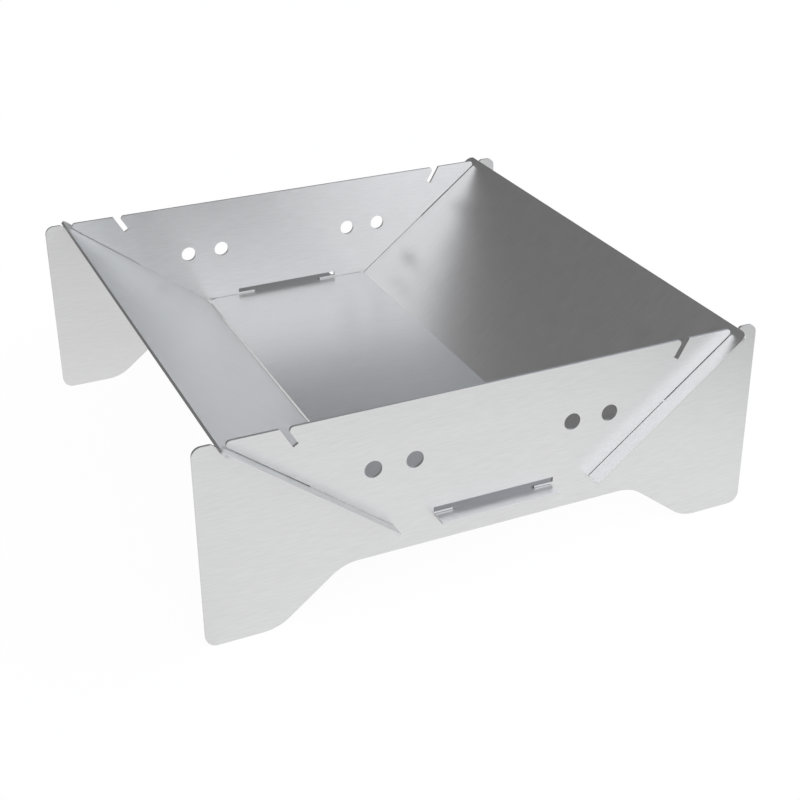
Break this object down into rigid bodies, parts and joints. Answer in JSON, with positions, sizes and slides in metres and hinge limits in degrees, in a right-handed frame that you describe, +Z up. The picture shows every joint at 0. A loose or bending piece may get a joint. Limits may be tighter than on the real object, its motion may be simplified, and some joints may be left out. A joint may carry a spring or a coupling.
{
  "type": "flat-pack portable fire pit",
  "caption": "Flat-pack portable fire pit of slotted steel sheets: arched end plates with air holes, sloping side panels in half-lap slots, and a tabbed floor plate that ties it together.",
  "frame": {"origin": "on the ground, under the middle of the pit", "axes": "+X across the pit to the right side panel, +Y along it from the front plate to the rear plate, +Z up"},
  "size_m": [0.4, 0.41, 0.142],
  "materials": {
    "stainless_sheet": "fine linear brushing, laser-cut edges left as cut"
  },
  "bodies": {
    "end_plates": {"front_plate": "stainless_sheet", "rear_plate": "stainless_sheet"},
    "left_side": {"left_panel": "stainless_sheet"},
    "right_side": {"right_panel": "stainless_sheet"},
    "floor": {"floor_plate": "stainless_sheet"}
  },
  "joints": [
    {"name": "left_panel_lift", "type": "slide", "parent": "end_plates", "child": "left_side", "axis": [-0.7886, 0, 0.615], "range_m": [0, 0.15]},
    {"name": "right_panel_lift", "type": "slide", "parent": "end_plates", "child": "right_side", "axis": [0.7886, 0, 0.615], "range_m": [0, 0.15]},
    {"name": "floor_plate_lift", "type": "slide", "parent": "end_plates", "child": "floor", "axis": [0, 0, 1], "range_m": [0, 0.0048]}
  ]
}
